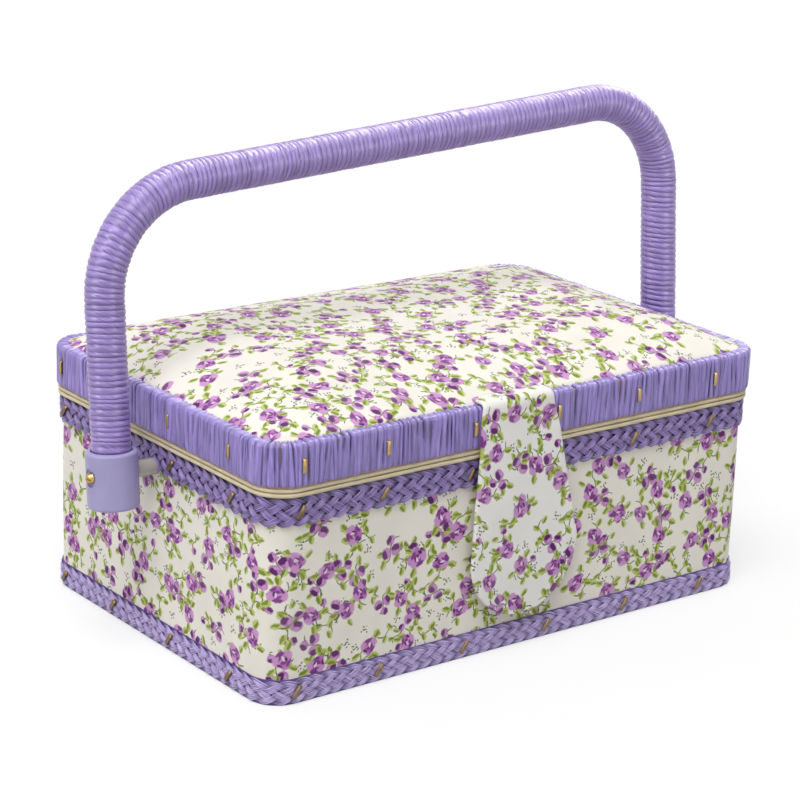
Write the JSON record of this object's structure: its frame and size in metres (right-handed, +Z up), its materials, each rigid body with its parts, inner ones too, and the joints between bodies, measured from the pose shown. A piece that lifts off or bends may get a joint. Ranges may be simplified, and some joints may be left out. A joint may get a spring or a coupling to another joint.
{
  "type": "sewing box",
  "caption": "Rectangular cloth-covered sewing box with a padded hinged lid, wound rim, plaited bands, a wound swinging handle and a cloth flap closure.",
  "frame": {"origin": "on the floor under the middle of the box", "axes": "+X along the box's length, +Y to the hinged back (the flap is at -Y), +Z up"},
  "size_m": [0.3058, 0.1713, 0.2014],
  "materials": {
    "printed_cloth": "printed cotton, cream ground with small mauve flowers",
    "board": "plain fibre board",
    "lining_cloth": "plain cream cloth",
    "lilac_strip": "satin woven strip",
    "lilac_plastic": "smooth moulding",
    "core_plastic": "plain",
    "clear_plastic": "clear",
    "cream_welt": "plain piping",
    "foam": "soft foam",
    "brass": "plated",
    "snap_steel": "plated"
  },
  "bodies": {
    "box": {"base_panel": "board", "floor_pad": "lining_cloth", "base_braid": "lilac_strip", "box_welt": "cream_welt", "fabric_cover": "printed_cloth", "wall_hoop": "board", "lining_wall": "lining_cloth", "top_braid": "lilac_strip", "hinge_box_leaves": "brass", "hinge_pins": "brass", "hinge_box_screws": "brass", "pivot_screws": "brass", "pivot_nuts": "brass", "snap_stud": "snap_steel", "top_braid_staples": "brass", "base_braid_staples": "brass", "pivot_sleeves": "clear_plastic"},
    "lid": {"rim_winding": "lilac_strip", "lid_frame": "board", "lid_board": "board", "lid_lining": "lining_cloth", "lid_welt": "cream_welt", "lid_foam": "foam", "lid_cover": "printed_cloth", "hinge_lid_leaves": "brass", "hinge_lid_screws": "brass", "flap_top": "printed_cloth", "rim_staples": "brass"},
    "flap": {"flap_tab": "printed_cloth", "snap_socket": "snap_steel"},
    "handle": {"handle_core": "core_plastic", "handle_winding": "lilac_strip", "left_cup": "lilac_plastic", "right_cup": "lilac_plastic"}
  },
  "joints": [
    {"name": "lid_hinge", "type": "hinge", "parent": "box", "child": "lid", "pos_m": [0, 0.0846, 0.089], "axis": [-1, 0, 0], "range_deg": [0, 78]},
    {"name": "handle_swing", "type": "hinge", "parent": "box", "child": "handle", "pos_m": [0, 0, 0.0739], "axis": [-1, 0, 0], "range_deg": [0, 118]},
    {"name": "flap_fold", "type": "hinge", "parent": "lid", "child": "flap", "pos_m": [0, -0.0838, 0.0877], "axis": [-1, 0, 0], "range_deg": [0, 85]}
  ],
  "couplings": [
    {"joint": "handle_swing", "follows": "lid_hinge", "ratio": 1.5}
  ]
}
